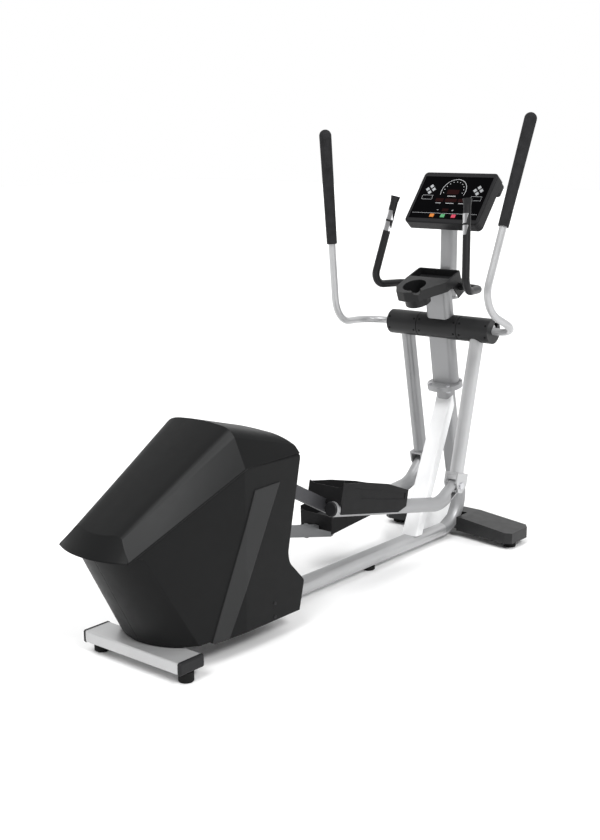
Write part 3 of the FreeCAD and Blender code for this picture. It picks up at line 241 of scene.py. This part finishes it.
def bevel_highlight_mask(g):
    """The lid's bevels: faces that lean back, up and to one side at once, which get the painted highlight.
    """
    back, side, up = g.facing()
    leans_back = g.between(back, 0.0, 1.0, start=-0.15, end=-0.35)
    leans_up = g.between(up, 0.0, 1.0, start=0.15, end=0.35)
    leans_aside = g.between(g.product(side, side), 0.0, 1.0, start=0.10, end=0.25)
    return g.product(g.product(leans_back, leans_up), leans_aside)


def rubber(name, colour, roughness=0.75):
    """Foam or rubber: open pores, dusty variation."""
    g = Graph(name)
    g.value("Specular IOR Level", 0.12)
    dust = g.noise(scale=35.0, detail=6.0)
    pores = g.bump(g.cells(scale=900.0), strength=0.5, distance=0.0005)
    return g.finish(g.colours(dust, shade(colour, 0.8), shade(colour, 1.5)),
                    g.between(dust, roughness - 0.1, roughness + 0.1), pores)


def ribbed(name, colour, direction, scale):
    """Rubber with moulded ribs, with painted shade in the troughs and a painted highlight on the crests."""
    g = Graph(name)
    ribs = g.waves(scale, direction)
    dust = g.noise(scale=40.0, detail=6.0)
    normal = g.bump(ribs, strength=0.8, distance=0.0012)
    # darker in the rib troughs, lighter on the crests: painted shade and painted highlight
    rib_shade_and_highlight = g.colours(ribs, shade(colour, 0.6), shade(colour, 1.4))
    return g.finish(rib_shade_and_highlight, g.between(dust, 0.6, 0.8), normal)


def machined(name, colour, roughness, stretch):
    """Bare metal with fine tool marks along one direction."""
    g = Graph(name)
    g.value("Metallic", 1.0)
    marks = g.noise(scale=60.0, detail=8.0, vector=g.stretched(stretch))
    smudge = g.noise(scale=18.0)
    return g.finish(g.colours(smudge, shade(colour, 0.85), shade(colour, 1.1)),
                    g.between(marks, roughness * 0.7, roughness * 1.3),
                    g.bump(marks, strength=0.15, distance=0.0002))


def gloss(name, colour, specular=0.2):
    """Glossy film or lens with finger marks."""
    g = Graph(name)
    marks = g.noise(scale=45.0, detail=6.0)
    waves = g.noise(scale=12.0, detail=2.0)
    g.value("Specular IOR Level", specular)
    return g.finish(g.colours(marks, shade(colour, 0.9), shade(colour, 1.1)),
                    g.between(marks, 0.08, 0.22), g.bump(waves, strength=0.03, distance=0.001))


SILVER = (0.32, 0.322, 0.328)
# paler copy of SILVER: painted highlight on the tubes that face the light
SILVER_PAINTED_HIGHLIGHT = (0.46, 0.462, 0.468)
BLACK = (0.0058, 0.006, 0.0062)
# paler black for the housing's painted highlight
PAINTED_HIGHLIGHT_BLACK = (0.028, 0.0284, 0.0288)
FINISHES = {
    "frame_paint": powder_coat("silver_coat", SILVER),
    # rail, right arm tube and handlebars: frame silver with a painted highlight
    "bright_paint": powder_coat("silver_coat_painted_highlight", SILVER_PAINTED_HIGHLIGHT, 0.34, 0.5),
    # near-white copy of the frame silver: painted highlight where the brace faces the light
    "brace_paint": powder_coat("brace_coat_painted_highlight", (0.86, 0.865, 0.87), 0.45, 0.1),
    # paler copy of the frame silver: painted highlight for the stabiliser's lit top
    "stabiliser_metal": powder_coat("stabiliser_coat_painted_highlight", (0.50, 0.502, 0.505), 0.35),
    # darker copy of the bar paint: painted shade on the bar that sits in shadow
    "bar_paint_dark": powder_coat("bar_coat_painted_shade", (0.06, 0.06, 0.065), 0.42),
    "bar_paint": powder_coat("bar_coat", (0.20, 0.205, 0.21), 0.42),
    "inner_paint": powder_coat("black_coat", (0.03, 0.03, 0.033), 0.4, 0.0),
    # side covers: black plastic with a painted highlight on the raised stripe
    "side_plastic": moulded_with_painted_highlight("side_grain_painted_highlight", BLACK, PAINTED_HIGHLIGHT_BLACK, stripe_highlight_mask),
    # lid: black plastic with a painted highlight on the bevels that face the light
    "lid_plastic": moulded_with_painted_highlight("lid_grain_painted_highlight", BLACK, PAINTED_HIGHLIGHT_BLACK, bevel_highlight_mask),
    "cover_plastic": moulded("cover_grain", (0.015, 0.0152, 0.0158), 0.40, specular=0.25),
    "screw_plastic": moulded("black_screw", (0.003, 0.003, 0.003), 0.5, specular=0.05),
    "cap_plastic": moulded("cap_grain", (0.013, 0.013, 0.014), 0.42, specular=0.2),
    "pedal_plastic": moulded("pedal_grain", (0.009, 0.009, 0.0095), 0.5, 900.0, 0.5),
    "console_plastic": moulded("console_grain", (0.011, 0.011, 0.012), 0.42, specular=0.15),
    "pulse_plastic": moulded("pulse_grain", (0.012, 0.012, 0.013), 0.38, 2200.0, 0.2, specular=0.25),
    "pulley_plastic": moulded("pulley_grain", (0.05, 0.05, 0.055), 0.5),
    "board": moulded("solder_mask", (0.01, 0.08, 0.03), 0.3),
    "grip_foam": rubber("grip_foam_finish", (0.017, 0.017, 0.018)),
    "foot_rubber": rubber("foot_rubber_finish", (0.010, 0.010, 0.010)),
    "tread_rubber": ribbed("tread_ribs", (0.014, 0.014, 0.015), "X", 60.0),
    "belt_rubber": ribbed("belt_ribs", (0.012, 0.012, 0.012), "Y", 120.0),
    "panel_film": gloss("panel_gloss", (0.0015, 0.0015, 0.0018), specular=0.012),
    "program_key": gloss("orange_key", (0.55, 0.18, 0.03)),
    "start_key": gloss("green_key", (0.08, 0.30, 0.13)),
    "stop_key": gloss("red_key", (0.50, 0.05, 0.09)),
    "contact_steel": machined("contact_polish", (0.85, 0.85, 0.87), 0.12, (1, 1, 30)),
    "fastener_steel": machined("fastener_zinc", (0.55, 0.55, 0.57), 0.35, (1, 20, 1)),
    "shaft_steel": machined("ground_shaft", (0.62, 0.62, 0.64), 0.25, (20, 1, 20)),
    "flywheel_iron": machined("turned_iron", (0.32, 0.32, 0.33), 0.4, (30, 1, 30)),
    "bush_brass": machined("sintered_bush", (0.60, 0.42, 0.18), 0.45, (20, 1, 20)),
}


# The rail, right arm tube and handlebars take the paler silver, a painted highlight; the housing covers take
# black plastic with a painted highlight.
OWN_FINISH = {
    "main_rail": "bright_paint", "arm_tube_right": "bright_paint",
    "handlebar_right": "bright_paint", "handlebar_left": "bright_paint",
    "housing_screws": "cap_plastic", "housing_lid": "lid_plastic",
    "housing_right": "side_plastic", "housing_left": "side_plastic",
}


def dress_cad():
    """Give every CAD node its slot's finish, or the one of its own."""
    for part in frame["record"]["subparts"]:
        finish = OWN_FINISH.get(part["node"], part["material_slot"])
        for slot in frame["nodes"][part["node"]].material_slots:
            slot.material = FINISHES[finish]


def new_piece(name, points, faces, material, body):
    mesh = bpy.data.meshes.new(name)
    mesh.from_pydata(points, [], faces)
    mesh.materials.append(material)
    piece = bpy.data.objects.new(name, mesh)
    bpy.context.scene.collection.objects.link(piece)
    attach(piece, body)


# ---- console face, in mm right of the film's middle line and mm below its top edge ------------
PANEL_THICK = 0.003         # m
PRINT_LIFT = 0.0003         # m, how far the print stands off the film
PAD_LIFT = 2.5 * PRINT_LIFT
DIAL = (-1, 70)
DIAL_RADIUS = 57
DIAL_LINE = 2.2
DIAL_START, DIAL_END = -20, 200                     # degrees from the right, turning up
TICKS = 11
TICK_START, TICK_STEP = -10, 20                     # degrees
TICK_RADIUS, TICK_SIZE, TICK_CORNER = 46, 4, 1.9
DIAL_UNIT = (95, 40, 3, 1.3)                        # place down, width, height, corner
DISPLAYS = ((-50, 38), (5, 56), (61, 42))           # place across, width
DISPLAY_DOWN, DISPLAY_TALL, DISPLAY_CORNER = 115, 16, 2
LABEL_DOWN, LABEL_TALL, LABEL_CORNER, LABEL_SHARE = 130, 2.4, 1.1, 0.7
SIDE_FRAMES = (-116, 119)
FRAME_DOWN, FRAME_WIDE, FRAME_TALL, FRAME_LINE = 103, 50, 20, 1.2
BASE_LINE = (0, 180, 312, 1.2, 0.5)                 # place across, down, width, height, corner
LEVEL_DOWN, MINUS_ACROSS, PLUS_ACROSS = 164, -38, 34
SIGN_LONG, SIGN_LINE, SIGN_CORNER = 9, 1.8, 0.8
DIAL_WINDOW = (74, 56, 22, 3)                       # place down, width, height, corner
LEVEL_WINDOW = (-2, 163, 30, 14, 2)                 # place across, down, width, height, corner
PAD_GROUPS = (-114, 115)
PAD_DOWN, PAD_REACH, PAD_HALF = 64, 15, 10
FACE_UP = Vector((math.sin(CONSOLE_TILT), 0, math.cos(CONSOLE_TILT)))
FACE_OUT = Vector((-math.cos(CONSOLE_TILT), 0, math.sin(CONSOLE_TILT)))


def face_point(across, down, lift):
    """Point on the panel, in mm right of its middle line and mm below its top edge."""
    low, high = (Vector(corner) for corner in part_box("console_panel"))
    foot = Vector((low.x, 0, low.z + PANEL_THICK * math.sin(CONSOLE_TILT)))
    tall = (high.z - foot.z) / math.cos(CONSOLE_TILT)
    return foot + FACE_UP * (tall - down * MM) + Vector((0, -across * MM, 0)) + FACE_OUT * lift


def rounded_outline(across, down, wide, tall, radius, steps=5):
    """Corner points of a rounded rectangle round a middle, in mm."""
    points = []
    for quarter, (sign_x, sign_y) in enumerate(((1, 1), (-1, 1), (-1, -1), (1, -1))):
        centre = (across + sign_x * (wide / 2 - radius), down + sign_y * (tall / 2 - radius))
        for i in range(steps + 1):
            turn = math.radians(90 * quarter + 90 * i / steps)
            points.append((centre[0] + radius * math.cos(turn), centre[1] + radius * math.sin(turn)))
    return points


def arc_outline(across, down, radius, width, start, end, steps=28):
    """Band along an arc, angles in degrees from the right, turning up."""
    turns = [math.radians(start + (end - start) * i / steps) for i in range(steps + 1)]
    outer = [(across + (radius + width) * math.cos(t), down - (radius + width) * math.sin(t)) for t in turns]
    inner = [(across + radius * math.cos(t), down - radius * math.sin(t)) for t in reversed(turns)]
    return outer + inner


def face_prints(name, outlines, material, height=PRINT_LIFT):
    """One mesh of thin closed slabs standing on the panel."""
    points, faces = [], []
    for outline in outlines:
        first, count = len(points), len(outline)
        for lift in (0.0, height):
            points += [face_point(x, y, lift) for x, y in outline]
        faces.append(tuple(first + count + i for i in range(count)))
        faces.append(tuple(first + i for i in reversed(range(count))))
        faces += [(first + i, first + (i + 1) % count, first + count + (i + 1) % count, first + count + i)
                  for i in range(count)]
    new_piece(name, points, faces, material, "frame")


def diamond(across, down, reach):
    """Four places round a point: above, right, below and left."""
    return [(across, down - reach), (across + reach, down), (across, down + reach), (across - reach, down)]


def frame_outline(across, down, wide, tall, line):
    """A thin rectangular frame as four bars."""
    corner = line / 2.1
    level = [rounded_outline(across, down + side * tall / 2, wide, line, corner) for side in (-1, 1)]
    upright = [rounded_outline(across + side * wide / 2, down, line, tall, corner) for side in (-1, 1)]
    return level + upright


def dial_outlines():
    """The dial's arc and the ticks inside it."""
    outlines = [arc_outline(*DIAL, DIAL_RADIUS, DIAL_LINE, DIAL_START, DIAL_END)]
    for i in range(TICKS):
        turn = math.radians(TICK_STEP * i + TICK_START)
        tick = (DIAL[0] + TICK_RADIUS * math.cos(turn), DIAL[1] - TICK_RADIUS * math.sin(turn))
        outlines.append(rounded_outline(*tick, TICK_SIZE, TICK_SIZE, TICK_CORNER))
    return outlines


def level_signs():
    """A minus and a plus on either side of the level window."""
    flat = (SIGN_LONG, SIGN_LINE, SIGN_CORNER)
    upright = (SIGN_LINE, SIGN_LONG, SIGN_CORNER)
    return [rounded_outline(MINUS_ACROSS, LEVEL_DOWN, *flat),
            rounded_outline(PLUS_ACROSS, LEVEL_DOWN, *flat),
            rounded_outline(PLUS_ACROSS, LEVEL_DOWN, *upright)]


def console_prints():
    outlines = dial_outlines()
    for across in SIDE_FRAMES:
        outlines += frame_outline(across, FRAME_DOWN, FRAME_WIDE, FRAME_TALL, FRAME_LINE)
    outlines += [rounded_outline(across, LABEL_DOWN, LABEL_SHARE * wide, LABEL_TALL, LABEL_CORNER)
                 for across, wide in DISPLAYS]
    outlines.append(rounded_outline(*BASE_LINE))
    return outlines + level_signs() + [rounded_outline(DIAL[0], *DIAL_UNIT)]


def console_windows():
    outlines = [rounded_outline(across, DISPLAY_DOWN, wide, DISPLAY_TALL, DISPLAY_CORNER)
                for across, wide in DISPLAYS]
    return outlines + [rounded_outline(DIAL[0], *DIAL_WINDOW), rounded_outline(*LEVEL_WINDOW)]


def console_face():
    """Printed gauge, frames, display windows and membrane pads on the console's film."""
    print_grey = moulded("face_print", (0.50, 0.51, 0.52), 0.4, 2500.0, 0.1)
    red_glass = gloss("window_red", (0.014, 0.003, 0.003), specular=0.03)
    pad_rubber = moulded("pad_rubber", (0.36, 0.37, 0.38), 0.5, 2500.0, 0.2)
    face_prints("console_print", console_prints(), print_grey)
    face_prints("console_windows", console_windows(), red_glass)
    pads = [diamond(*place, PAD_HALF) for group in PAD_GROUPS
            for place in diamond(group, PAD_DOWN, PAD_REACH)]
    face_prints("console_pads", pads, pad_rubber, PAD_LIFT)


# ---- screw heads on the pivot covers, in metres and degrees ------------------------------------
SCREW_RADIUS = 0.0045
SCREW_HEIGHT = 0.0012
SCREW_SIDES = 16
SCREW_RINGS = ((1.0, -1.0), (1.0, 0.2), (0.8, 1.0), (0.45, 1.0), (0.4, -0.4))   # radius, lift
SEAM_MARGIN = 0.012         # from a cover's end to its screws
SCREW_TURNS = (150, 205)    # round the cover, from +X towards +Z


def screw_points(place, normal):
    """Countersunk head: outer ring, raised ring and a sunk middle, with the faces between them."""
    normal = Vector(normal).normalized()
    across = normal.orthogonal().normalized()
    other = normal.cross(across)
    points, faces = [], []
    for share, rise in SCREW_RINGS:
        reach, lift = share * SCREW_RADIUS, rise * SCREW_HEIGHT
        for i in range(SCREW_SIDES):
            turn = 2 * math.pi * i / SCREW_SIDES
            aside = across * (reach * math.cos(turn)) + other * (reach * math.sin(turn))
            points.append(Vector(place) + aside + normal * lift)
    for first in range(0, len(points) - SCREW_SIDES, SCREW_SIDES):
        following = first + SCREW_SIDES
        for i in range(SCREW_SIDES):
            j = (i + 1) % SCREW_SIDES
            faces.append((first + i, first + j, following + j, following + i))
    faces.append(tuple(range(len(points) - SCREW_SIDES, len(points))))
    faces.append(tuple(reversed(range(SCREW_SIDES))))
    return points, faces


def screws(name, places, body):
    """Group of small black screw heads, each given as a place and the way it faces."""
    points, faces = [], []
    for place, normal in places:
        more, sides = screw_points(place, normal)
        faces += [tuple(len(points) + k for k in face) for face in sides]
        points += more
    new_piece(name, points, faces, FINISHES["screw_plastic"], body)


def cover_screws():
    """Screws on the user's side of the pivot covers, near their seams."""
    for node, body in (("pivot_centre_cover", "frame"), ("arm_cover_right", "arm_right"),
                       ("arm_cover_left", "arm_left")):
        low, high = (Vector(corner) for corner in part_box(node))
        middle = (low + high) / 2
        radius = (high.z - low.z) / 2
        places = []
        for y in (low.y + SEAM_MARGIN, high.y - SEAM_MARGIN):
            for turn in SCREW_TURNS:
                out = Vector((math.cos(math.radians(turn)), 0, math.sin(math.radians(turn))))
                places.append((Vector((middle.x, y, middle.z)) + out * radius, out))
        screws(node + "_screws", places, body)


# ---- stage ------------------------------------------------------------------------------------
SENSOR_WIDTH = 36.0                     # mm
VIEW_END = 60.0                         # m
FLOOR_REACH = 30.0                      # m
FADE_START, FADE_END = -0.5, 0.55       # cosine of the angle to the backdrop
ROOM_DIM, ROOM_BRIGHT = 0.30, 1.0       # strength behind the camera and on the backdrop
SUN_STRENGTH = 1.7
SUNS = (("key", (0.55, 0.10, -0.83), 30), ("side_band", (0.22, 0.70, -0.68), 16))


def camera():
    yaw, pitch, roll = (math.radians(a) for a in (CAMERA_YAW, CAMERA_PITCH, CAMERA_ROLL))
    ahead = Vector((math.cos(yaw) * math.cos(pitch), math.sin(yaw) * math.cos(pitch), -math.sin(pitch)))
    level = Vector((math.sin(yaw), -math.cos(yaw), 0))
    upright = level.cross(ahead)
    right = level * math.cos(roll) + upright * math.sin(roll)
    up = upright * math.cos(roll) - level * math.sin(roll)
    data = bpy.data.cameras.new("camera")
    data.lens = CAMERA_LENS
    data.sensor_width = SENSOR_WIDTH
    data.clip_end = VIEW_END
    view = bpy.data.objects.new("camera", data)
    axes = Matrix((right, up, -ahead)).transposed().to_4x4()
    view.matrix_world = Matrix.Translation(CAMERA_PLACE) @ axes
    bpy.context.scene.collection.objects.link(view)
    bpy.context.scene.camera = view


def floor():
    g = Graph("pale_floor")
    speck = g.noise(scale=3.0)
    material = g.finish(g.colours(speck, (0.93, 0.93, 0.93), (0.95, 0.95, 0.95)),
                        g.between(speck, 0.7, 0.8),
                        g.bump(g.noise(scale=200.0), strength=0.02, distance=0.001))
    mesh = bpy.data.meshes.new("floor")
    corners = [(FLOOR_REACH * x, FLOOR_REACH * y, 0) for x, y in ((-1, -1), (1, -1), (1, 1), (-1, 1))]
    mesh.from_pydata(corners, [], [(0, 1, 2, 3)])
    mesh.materials.append(material)
    ground = bpy.data.objects.new("floor", mesh)
    bpy.context.scene.collection.objects.link(ground)


def sun(name, towards, strength, softness):
    """Broad distant light, softness in degrees."""
    data = bpy.data.lights.new(name, "SUN")
    data.energy = strength
    data.angle = math.radians(softness)
    lamp = bpy.data.objects.new(name, data)
    lamp.rotation_euler = Vector(towards).to_track_quat("-Z", "Y").to_euler()
    bpy.context.scene.collection.objects.link(lamp)


def studio():
    """White backdrop ahead of the camera's side of the room, dimmer behind it, and two soft suns."""
    world = bpy.data.worlds.new("studio")
    world.use_nodes = True
    tree = world.node_tree
    way = tree.nodes.new("ShaderNodeTexCoord")
    ahead = tree.nodes.new("ShaderNodeVectorMath")
    ahead.operation = "DOT_PRODUCT"
    ahead.inputs[1].default_value = BACKDROP
    fade = tree.nodes.new("ShaderNodeMapRange")
    fade.interpolation_type = "SMOOTHSTEP"
    fade.inputs["From Min"].default_value = FADE_START
    fade.inputs["From Max"].default_value = FADE_END
    fade.inputs["To Min"].default_value = ROOM_DIM
    fade.inputs["To Max"].default_value = ROOM_BRIGHT
    tree.links.new(way.outputs["Generated"], ahead.inputs[0])
    tree.links.new(ahead.outputs["Value"], fade.inputs["Value"])
    tree.links.new(fade.outputs["Result"], tree.nodes["Background"].inputs["Strength"])
    tree.nodes["Background"].inputs["Color"].default_value = (1, 1, 1, 1)
    bpy.context.scene.world = world
    bpy.context.scene.view_settings.view_transform = "Standard"
    for name, towards, softness in SUNS:
        sun(name, towards, SUN_STRENGTH, softness)


camera()
floor()
studio()
dress_cad()
console_face()
cover_screws()
